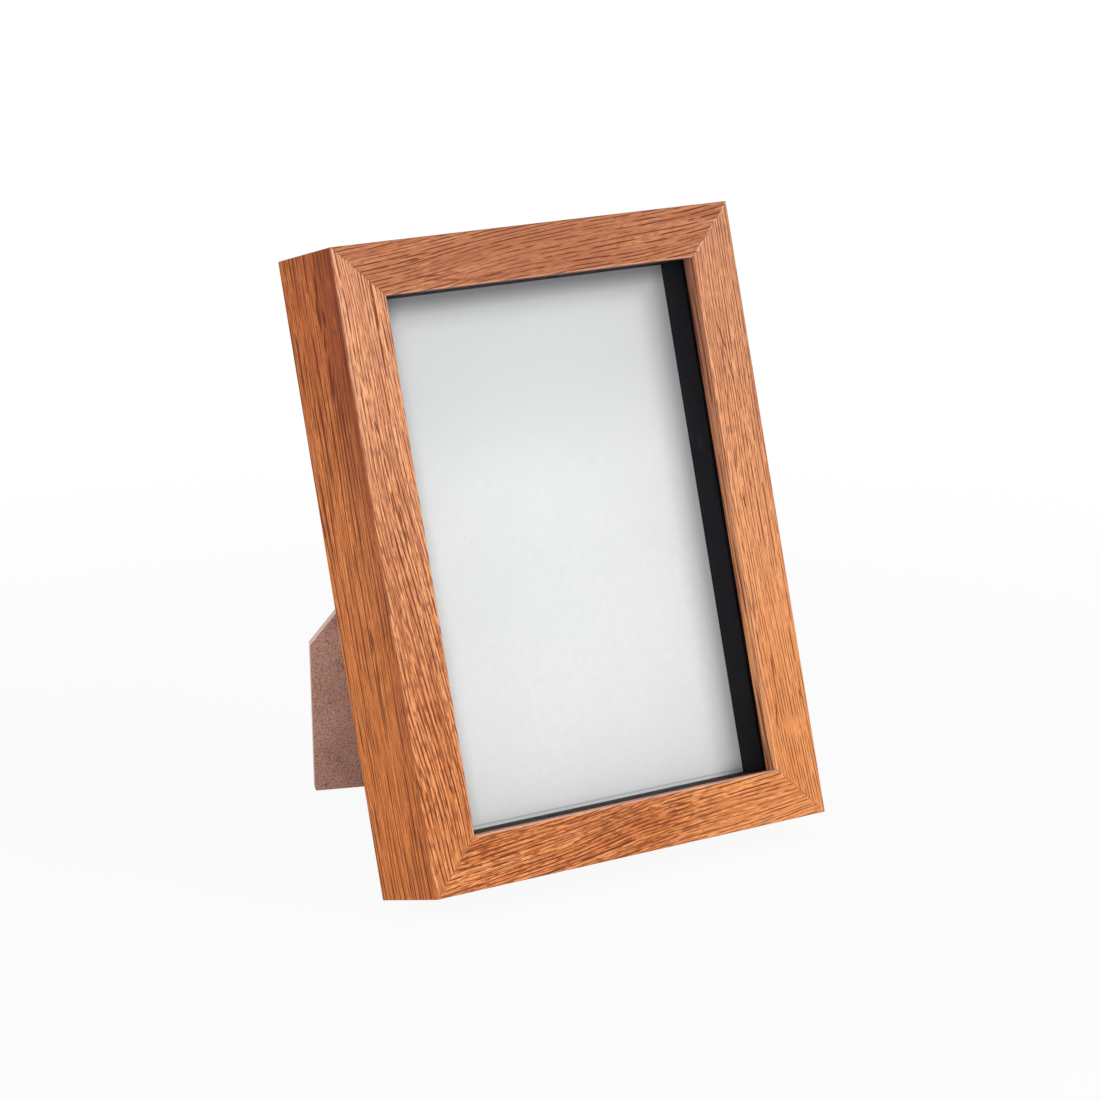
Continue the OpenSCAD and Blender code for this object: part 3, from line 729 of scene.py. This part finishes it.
cardSet = {
    "pulp": (420, 4, 0.6),
    "pulpStep": (0.3, 0.7),
    "pulpTones": ((226, 226, 227), (230, 230, 231)),
    "cloud": (22, 2),
    "cloudStep": (0.35, 0.65, 0.0, 0.35),
    "cloudTone": (220, 221, 223),
    "dust": (700, 1),
    "dustStep": (0.765, 0.80),
    "dustAmount": 0.35,
    "dustTone": (190, 188, 186),
    "upperShadeStep": (0.105, 0.150, 0.0, 0.75),       # painted shade, greyer towards the top
    "upperShadeTone": (208, 209, 211),
    "footLightReach": 0.0060,                         # painted light, whiter just above the lower spacer
    "footLightAmount": 0.9,
    "footLightTone": (252, 252, 253),
    "shadowStart": 0.0002,                       # painted shadow, greyer under the top spacer and beside the right one
    "spacerShadowTone": (90, 90, 92),
    "topShadowReach": 0.0072,
    "topShadowAmount": 0.72,
    "rightShadowReach": 0.0062,
    "rightShadowAmount": 0.42,
    "reflectionLineUp": 0.0011,                          # painted reflection: a faint grey line, the lower spacer's reflection in the glass, runs along just above the lower spacer
    "reflectionLineStep": (0.00005, 0.00045, 0.40),
    "reflectionLineTone": (130, 132, 136),
    "rough": 0.6,
    "relief": (0.00002, 0.12),
    "gloss": 0.3,
}


def makeCard():
    mat = startMaterial("whiteCard")
    lowEdge = spanOf(["spacer_bottom"], upWay)[1]
    topEdge = spanOf(["spacer_top"], upWay)[0]
    rightEdge = spanOf(["spacer_right"], acrossWay)[0]
    reflectionLineUp = lowEdge + cardSet["reflectionLineUp"]
    spot = objectPlace(mat)
    part = partsOf(mat, spot)
    pulp = noise(mat, spot, *cardSet["pulp"])
    cloud = noise(mat, spot, *cardSet["cloud"])
    dust = fade(mat, noise(mat, spot, *cardSet["dust"]), *cardSet["dustStep"])
    rise = line(mat, part["Z"], upWay.z, -reflectionLineUp)
    rise = plus(mat, rise, times(mat, part["Y"], upWay.y))
    tall = plus(mat, rise, reflectionLineUp)
    start = cardSet["shadowStart"]
    # painted shadows of the top and right spacers on the card
    topShadow = fade(mat, tall, topEdge - cardSet["topShadowReach"], topEdge - start, 0.0, cardSet["topShadowAmount"])
    rightShadow = fade(mat, part["X"], rightEdge - cardSet["rightShadowReach"], rightEdge - start,
                  0.0, cardSet["rightShadowAmount"])
    # painted light just above the lower spacer
    foot = fade(mat, tall, lowEdge, lowEdge + cardSet["footLightReach"], cardSet["footLightAmount"], 0.0)
    dull, bright = cardSet["pulpTones"]
    colour = mixTint(mat, fade(mat, pulp, *cardSet["pulpStep"]), tint(*dull), tint(*bright))
    for amount, shade in (
            (fade(mat, cloud, *cardSet["cloudStep"]), "cloudTone"),
            (times(mat, dust, cardSet["dustAmount"]), "dustTone"),
            # painted shade towards the top
            (fade(mat, tall, *cardSet["upperShadeStep"]), "upperShadeTone"),
            # painted light above the lower spacer
            (foot, "footLightTone"),
            # painted shadows of the top and right spacers
            (topShadow, "spacerShadowTone"),
            (rightShadow, "spacerShadowTone"),
            # painted reflection of the lower spacer in the glass
            (near(mat, rise, 0.0, *cardSet["reflectionLineStep"]), "reflectionLineTone")):
        colour = mixTint(mat, amount, colour, tint(*cardSet[shade]))
    return finishMaterial(mat, colour, cardSet["rough"], pulp, *cardSet["relief"],
                          Specular_IOR_Level=cardSet["gloss"])


# steels: colour, roughness, stretch of the brushed streaks
steels = {
    "leafSteel": ((206, 206, 210), 0.34, (400, 400, 4200)),
    "plateSteel": ((210, 210, 212), 0.30, (3800, 500, 500)),
    "pinSteel": ((196, 196, 200), 0.26, (400, 400, 4200)),
    "screwSteel": ((214, 212, 206), 0.28, (900, 900, 900)),
    "nailSteel": ((160, 160, 164), 0.40, (400, 400, 4200)),
}
steelSet = {
    "mottle": (260, 3),
    "toneStep": (0.35, 0.65),
    "deep": 0.86,
    "roughSpread": 0.16,
    "relief": (0.00002, 0.2),
}


def makeSteel(name):
    shade, rough, brushed = steels[name]
    mat = startMaterial(name)
    streak = noise(mat, objectPlace(mat, brushed))
    mottle = noise(mat, objectPlace(mat), *steelSet["mottle"])
    tone = plus(mat, times(mat, streak, 0.5), times(mat, mottle, 0.5))
    deep = [round(c * steelSet["deep"]) for c in shade]
    colour = mixTint(mat, fade(mat, tone, *steelSet["toneStep"]), tint(*deep), tint(*shade))
    spread = steelSet["roughSpread"]
    gloss = line(mat, mottle, spread, rough - spread / 2)
    return finishMaterial(mat, colour, gloss, streak, *steelSet["relief"], Metallic=1.0)


looks = {"foilGrain": makeFoil(), "mitreSeam": makeSeam(), "paneGlass": makeGlass(),
         "blackSpacer": makeSpacer(), "whiteCard": makeCard()}
looks.update({name: makeBoard(name) for name in boards})
looks.update({name: makeSteel(name) for name in steels})
print("materials made")


# way round the section: below 0 on the side face, then over the arris, the front and the lip
def wrapAt(depth, inward):
    r, lip, close = railSet["arris"], railSet["lipArris"], railSet["near"]
    if inward <= r and depth <= r:
        return r * math.atan2(r - depth, max(r - inward, 1e-9))
    if inward >= faceW - lip and depth <= lip:
        return frontEnd + lip * math.atan2(inward - faceW + lip, max(lip - depth, 1e-9))
    if (depth > lip and inward > wallW + close) or (depth > lipT and inward > wallW - close):
        return frontEnd + lip * math.pi / 2 + depth - lip
    if depth > r:
        return r - depth
    return r * math.pi / 2 + inward - r


def shapeRail(name, length):
    weld = railSet["weld"]
    deselectAll()
    bpy.ops.mesh.primitive_cube_add(size=1, location=(0, frameD / 2, wallW / 2))
    rail = bpy.context.object
    rail.name = rail.data.name = name
    rail.scale = (length + 2 * railSet["spare"], frameD, wallW)
    setPlace(rail)
    bpy.ops.object.mode_set(mode="EDIT")
    bpy.ops.mesh.select_all(action="SELECT")
    bpy.ops.mesh.bisect(plane_co=(0, lipT, 0), plane_no=(0, 1, 0), threshold=weld)
    pickParts(rail, "FACE", lambda f: f.normal.z > 0.9 and f.calc_center_median().y < lipT)
    bpy.ops.mesh.extrude_region_move(TRANSFORM_OT_translate={"value": (0, 0, faceW - wallW)})
    for inward, radius, steps in ((0, railSet["arris"], railSet["arrisSteps"]),
                                  (faceW, railSet["lipArris"], railSet["lipArrisSteps"])):
        pickParts(rail, "EDGE", lambda e: all(
            abs(v.co.y) < weld and abs(v.co.z - inward) < weld for v in e.verts))
        bpy.ops.mesh.bevel(offset=radius, segments=steps, profile=0.5, affect="EDGES", clamp_overlap=False)
    for side in (-1, 1):
        pickAll("FACE")
        bpy.ops.mesh.bisect(plane_co=(side * length / 2, 0, 0), plane_no=(side, 0, 1),
                            clear_outer=True, use_fill=True, threshold=weld)
    pickParts(rail, "EDGE", lambda e: e.verts[0].co.x * e.verts[1].co.x > 0 and all(
        abs(abs(v.co.x) + v.co.z - length / 2) < 2 * weld for v in e.verts))
    bpy.ops.mesh.bevel(offset=railSet["seam"], segments=1, affect="EDGES", clamp_overlap=False)
    pickAll("FACE")
    bpy.ops.mesh.normals_make_consistent(inside=False)
    bpy.ops.object.mode_set(mode="OBJECT")
    return rail


# a node's mesh, copied and merged into whole faces
mergeSet = {"weld": 2e-6, "flat": 1}


def mergedCopy(node, name):
    source = nodes[node]
    piece = bpy.data.objects.new(name, source.data.copy())
    bpy.context.scene.collection.objects.link(piece)
    takeUp(piece)
    bpy.ops.object.mode_set(mode="EDIT")
    bpy.ops.mesh.select_all(action="SELECT")
    bpy.ops.mesh.remove_doubles(threshold=mergeSet["weld"])
    bpy.ops.mesh.dissolve_limited(angle_limit=math.radians(mergeSet["flat"]))
    bpy.ops.object.mode_set(mode="OBJECT")
    return piece


# cutters for the nail slots and for the hollow behind each keyhole
cutterSet = {
    "nailProud": 0.0015,
    "pocketR": 0.0031,
    "pocketDepth": 0.006,
    "pocketProud": 0.002,
    "pocketSides": 40,
    "entryDrop": 0.0012,
    "slotRise": 0.0018,
    "pockets": {
        "rail_top": ("pocketTop", upright(0, frameH - wallW / 2)),
        "rail_left": ("pocketLeft", upright((wallW - frameW) / 2, frameH / 2, -90)),
    },
}
nailCutter = mergedCopy("mitre_v_nails", "nailCutter")
nailCutter.location = backWay * cutterSet["nailProud"]
setPlace(nailCutter)


def shapePocket(name, place):
    deselectAll()
    drop = cutterSet["entryDrop"]
    depth = cutterSet["pocketDepth"] + cutterSet["pocketProud"]
    bpy.ops.mesh.primitive_cylinder_add(vertices=cutterSet["pocketSides"], radius=cutterSet["pocketR"],
                                        depth=depth, location=(0, 0, -drop), rotation=(math.pi / 2, 0, 0))
    cutter = bpy.context.object
    cutter.name = name
    setPlace(cutter)
    bpy.ops.object.mode_set(mode="EDIT")
    pickParts(cutter, "VERT", lambda v: v.co.z > railSet["weld"] - drop)
    bpy.ops.transform.translate(value=(0, 0, cutterSet["slotRise"] + drop))
    bpy.ops.object.mode_set(mode="OBJECT")
    inward = Matrix.Translation((0, frameD - cutterSet["pocketDepth"] + depth / 2, 0))
    cutter.matrix_world = toLean @ place @ inward
    setPlace(cutter)
    return cutter


pockets = {node: shapePocket(name, place) for node, (name, place) in cutterSet["pockets"].items()}


# each face gets its material (0 foil, 1 raw board, 2 seam) and its places on the two maps
def mapRail(rail, length, toLocal, offset, slant):
    shape = bmesh.new()
    shape.from_mesh(rail.data)
    wrap = shape.loops.layers.uv.new("wrap")
    grain = shape.loops.layers.uv.new("grain")
    turn = toLocal.to_3x3()
    close, slack, halfRoot = railSet["near"], railSet["mitreSlack"], math.sqrt(0.5)
    for face in shape.faces:
        spots = [toLocal @ v.co for v in face.verts]
        middle = sum(spots, Vector()) / len(spots)
        way = turn @ face.normal
        gaps = [abs(abs(s.x) + s.z - length / 2) for s in spots]
        mitre = abs(abs(way.x) - halfRoot) < slack and abs(way.z - halfRoot) < slack
        rear = middle.y > frameD - close or (way.y > 0.5 and middle.y > lipT - railSet["rearReach"])
        rebate = middle.y > lipT + close and way.z > 0.5
        inside = (middle.z > close and frameD - middle.y > close and middle.y > lipT
                  and abs(middle.z - wallW) > close)
        face.material_index = 1 if mitre or rear or rebate or inside else 0
        oneEnd = min(s.x for s in spots) * max(s.x for s in spots) > 0
        if oneEnd and max(gaps) < railSet["seamReach"] * railSet["seam"] and not mitre and not rear:
            face.material_index = 2
        tilt = slant if wrapAt(middle.y, middle.z) > 0 else slant * railSet["sideSlant"]
        for loop, spot in zip(face.loops, spots):
            v = wrapAt(spot.y, spot.z)
            loop[wrap].uv = (spot.x + offset, v)
            loop[grain].uv = (spot.x + offset, v + tilt * spot.x)
    shape.to_mesh(rail.data)
    shape.free()


for side, (length, place, slant) in railSet["rails"].items():
    node = "rail_" + side
    rail = shapeRail("foil_rail_" + side, length)
    rail.matrix_world = toLean @ place
    setPlace(rail)
    for cutter in [nailCutter] + [pocket for owner, pocket in pockets.items() if owner == node]:
        useModifier(rail, "BOOLEAN", operation="DIFFERENCE", solver="EXACT", object=cutter)
    dress(rail, [looks["foilGrain"], looks["rawBoard"], looks["mitreSeam"]])
    mapRail(rail, length, (toLean @ place).inverted(), railMiddle[side], slant)
    evenShading(rail, railSet["smooth"])
    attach(rail, bodyOf[node])
    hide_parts(node)
for cutter in [nailCutter, *pockets.values()]:
    bpy.data.objects.remove(cutter)
print("rails made")

# sheet pieces get eased edges: name, width of the ease, face, cut edge, slot
softSet = {
    "leg_board": ("leg_fibreboard", 0.00022, "legFace", "cutEdge", "fibre_board"),
    "backing_board": ("back_fibreboard", 0.0002, "backFace", "cutEdge", "fibre_board"),
    "hinge_leaf_board": ("leaf_on_board", 0.00012, "leafSteel", None, "plated_steel"),
    "hinge_leaf_leg": ("leaf_on_leg", 0.00012, "leafSteel", None, "plated_steel"),
    "hanger_portrait": ("keyhole_plate_portrait", 0.00018, "plateSteel", None, "plated_steel"),
    "hanger_landscape": ("keyhole_plate_landscape", 0.00018, "plateSteel", None, "plated_steel"),
}
for node in sorted(nodes):
    if node.startswith("turn_button_") and node != "turn_button_screws":
        clip = node.replace("turn_button", "retaining_clip")
        softSet[node] = (clip, 0.00016, "plateSteel", None, "plated_steel")
easeSet = {"steps": 2, "angle": 40, "smooth": 35, "flatCosine": 0.75}


# a board's cut edge has its own material and a map through the thickness, from skin to skin
def mapSkin(piece):
    flat = max(piece.data.polygons, key=lambda p: p.area).normal.copy()
    depths = [v.co.dot(flat) for v in piece.data.vertices]
    low, thick = min(depths), max(depths) - min(depths)
    skin = piece.data.uv_layers.new(name="skin")
    for loop in piece.data.loops:
        skin.data[loop.index].uv = (0, (depths[loop.vertex_index] - low) / thick)
    for polygon in piece.data.polygons:
        polygon.material_index = 1 if abs(polygon.normal.dot(flat)) < easeSet["flatCosine"] else 0


for node, (name, width, face, edge, slotName) in softSet.items():
    piece = mergedCopy(node, name)
    useModifier(piece, "BEVEL", width=width, segments=easeSet["steps"], limit_method="ANGLE",
                angle_limit=math.radians(easeSet["angle"]), use_clamp_overlap=False)
    dress(piece, [looks[look] for look in (face, edge) if look])
    if edge:
        mapSkin(piece)
    evenShading(piece, easeSet["smooth"])
    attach(piece, bodyOf[node])
    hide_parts(node)
print("sheet pieces made")

# the plain CAD solids that stay
dressed = {
    "glass_pane": "paneGlass",
    "insert_card": "whiteCard",
    "hinge_pin": "pinSteel",
    "hinge_rivets_board": "pinSteel",
    "hinge_rivets_leg": "pinSteel",
    "hanger_screws": "screwSteel",
    "turn_button_screws": "screwSteel",
    "mitre_v_nails": "nailSteel",
}
for side in ("top", "bottom", "left", "right"):
    dressed["spacer_" + side] = "blackSpacer"
    dressed["packer_" + side] = "greyBoard"
for node, look in dressed.items():
    for spot in nodes[node].material_slots:
        spot.material = looks[look]
print("other nodes dressed")


# what the camera sees itself, in a reflection or through the glass
def seenBy(mat):
    ray = addNode(mat, "ShaderNodeLightPath").outputs
    return larger(mat, larger(mat, ray["Is Camera Ray"], ray["Is Glossy Ray"]), ray["Is Transmission Ray"])


# plain pale floor: nearly white to the camera, with the object's shadow left in it
floorSet = {
    "size": 6.0,
    "down": 0.0001,
    "colour": (0.86, 0.86, 0.86, 1),
    "shade": 0.07,               # how much of the real floor shows close to the object
    "near": 0.2,
    "far": 0.6,
}
deselectAll()
bpy.ops.mesh.primitive_plane_add(size=floorSet["size"], location=(0, 0, -floorSet["down"]))
floor = bpy.context.object
floor.name = "studioFloor"
floorMat = startMaterial("studioFloor")
flat = addNode(floorMat, "ShaderNodeBsdfDiffuse", inputs={"Color": floorSet["colour"]})
glow = addNode(floorMat, "ShaderNodeEmission", inputs={"Color": (1, 1, 1, 1), "Strength": 1.0})
far = addNode(floorMat, "ShaderNodeVectorMath", {"operation": "LENGTH"}, {0: objectSpot(floorMat)})
keep = fade(floorMat, far.outputs["Value"], floorSet["near"], floorSet["far"], floorSet["shade"], 0.0)
white = times(floorMat, seenBy(floorMat), lessThanOne(floorMat, keep))
mix = addNode(floorMat, "ShaderNodeMixShader", inputs={0: white, 1: flat.outputs[0], 2: glow.outputs[0]})
feed(floorMat, addNode(floorMat, "ShaderNodeOutputMaterial").inputs["Surface"], mix.outputs[0])
floor.data.materials.append(floorMat)

# white surroundings for the camera and for reflections, a lower level as room light
worldSet = {"room": ((0.97, 0.985, 1, 1), 0.38), "pure": ((1, 1, 1, 1), 1.0)}
world = bpy.data.worlds.new("studioWorld")
bpy.context.scene.world = world
world.use_nodes = True
world.node_tree.nodes.clear()
room, pure = (addNode(world, "ShaderNodeBackground", inputs={"Color": colour, "Strength": strength})
              for colour, strength in worldSet.values())
seen = seenBy(world)
mix = addNode(world, "ShaderNodeMixShader", inputs={0: seen, 1: room.outputs[0], 2: pure.outputs[0]})
feed(world, addNode(world, "ShaderNodeOutputWorld").inputs["Surface"], mix.outputs[0])

# soft lamps, aimed at the middle of the frame: place, size, power in watts, colour
lampAim = (0, 0, 0.1)
lamps = {
    "keyLamp": ((0.62, -1.02, 1.04), 0.42, 6.8, (1.0, 0.99, 0.97)),
    "fillLamp": ((-0.86, -1.33, 0.25), 0.4, 11.6, (1.0, 1.0, 1.0)),
    "sideLamp": ((-1.45, -0.25, 0.45), 0.8, 4.0, (1.0, 1.0, 1.0)),
}
for name, (place, size, power, colour) in lamps.items():
    data = bpy.data.lights.new(name, "AREA")
    data.shape = "SQUARE"
    data.size = size
    data.energy = power
    data.color = colour
    lamp = bpy.data.objects.new(name, data)
    bpy.context.scene.collection.objects.link(lamp)
    lamp.location = place
    lamp.rotation_euler = (Vector(lampAim) - Vector(place)).to_track_quat("-Z", "Y").to_euler()
bpy.context.scene.view_settings.view_transform = "Standard"
print("floor and light set")
